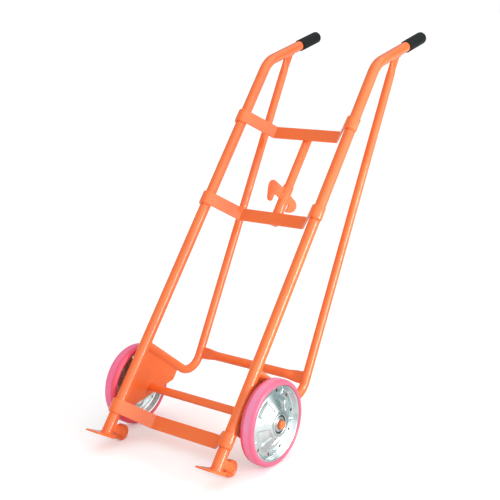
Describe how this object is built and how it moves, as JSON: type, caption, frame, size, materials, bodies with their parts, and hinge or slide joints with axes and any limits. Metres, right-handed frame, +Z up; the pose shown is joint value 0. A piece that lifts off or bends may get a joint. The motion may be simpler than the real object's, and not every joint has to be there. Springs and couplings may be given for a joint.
{
  "type": "drum hand truck",
  "caption": "Welded tube hand truck for steel drums, leaned back, with rubber-tyred wheels, small toe rollers, braced handles and a drum hook that slides and turns on a bar.",
  "frame": {"origin": "on the floor, below the middle of the whole truck", "axes": "+X to the truck's right as seen from the front, +Y from the toes back towards the grips, +Z up"},
  "size_m": [0.594, 1.2076, 1.1606],
  "materials": {
    "orange_enamel": "gloss",
    "pink_tyre_rubber": "satin",
    "black_grip_rubber": "matte",
    "zinc_plate": "gloss",
    "bare_steel": "satin"
  },
  "bodies": {
    "frame": {"left_rail": "orange_enamel", "right_rail": "orange_enamel", "left_grip": "black_grip_rubber", "right_grip": "black_grip_rubber", "left_rear_strut": "orange_enamel", "right_rear_strut": "orange_enamel", "rear_cross_tube": "orange_enamel", "axle": "orange_enamel", "left_gusset": "orange_enamel", "right_gusset": "orange_enamel", "lower_strap": "orange_enamel", "middle_strap": "orange_enamel", "upper_strap": "orange_enamel", "slide_bar": "orange_enamel", "left_toe": "orange_enamel", "right_toe": "orange_enamel", "left_outer_fork": "orange_enamel", "left_inner_fork": "orange_enamel", "right_outer_fork": "orange_enamel", "right_inner_fork": "orange_enamel", "left_roller_pin": "orange_enamel", "right_roller_pin": "orange_enamel", "left_wheel_spacer": "orange_enamel", "right_wheel_spacer": "orange_enamel", "left_axle_clip": "bare_steel", "right_axle_clip": "bare_steel"},
    "left_wheel": {"left_tyre": "pink_tyre_rubber", "left_outer_disc": "zinc_plate", "left_inner_disc": "zinc_plate", "left_hub": "zinc_plate", "left_outer_bearing": "bare_steel", "left_inner_bearing": "bare_steel"},
    "right_wheel": {"right_tyre": "pink_tyre_rubber", "right_outer_disc": "zinc_plate", "right_inner_disc": "zinc_plate", "right_hub": "zinc_plate", "right_outer_bearing": "bare_steel", "right_inner_bearing": "bare_steel"},
    "left_toe_roller": {"left_roller": "orange_enamel"},
    "right_toe_roller": {"right_roller": "orange_enamel"},
    "hook_slider": {"hook_sleeve": "orange_enamel"},
    "hook_claws": {"front_claw": "orange_enamel", "rear_claw": "orange_enamel"}
  },
  "joints": [
    {"name": "left_wheel_spin", "type": "hinge", "parent": "frame", "child": "left_wheel", "pos_m": [-0.258, -0.35462, 0.12496], "axis": [1, 0, 0], "continuous": true},
    {"name": "right_wheel_spin", "type": "hinge", "parent": "frame", "child": "right_wheel", "pos_m": [0.258, -0.35462, 0.12496], "axis": [1, 0, 0], "continuous": true},
    {"name": "left_roller_spin", "type": "hinge", "parent": "frame", "child": "left_toe_roller", "pos_m": [-0.208, -0.48591, 0.02396], "axis": [1, 0, 0], "continuous": true},
    {"name": "right_roller_spin", "type": "hinge", "parent": "frame", "child": "right_toe_roller", "pos_m": [0.208, -0.48591, 0.02396], "axis": [1, 0, 0], "continuous": true},
    {"name": "hook_slide", "type": "slide", "parent": "frame", "child": "hook_slider", "axis": [0, 0.633, 0.7741], "range_m": [0, 0.1623]},
    {"name": "hook_turn", "type": "hinge", "parent": "hook_slider", "child": "hook_claws", "pos_m": [0, 0.04718, 0.61409], "axis": [0, 0.633, 0.7741], "continuous": true}
  ]
}
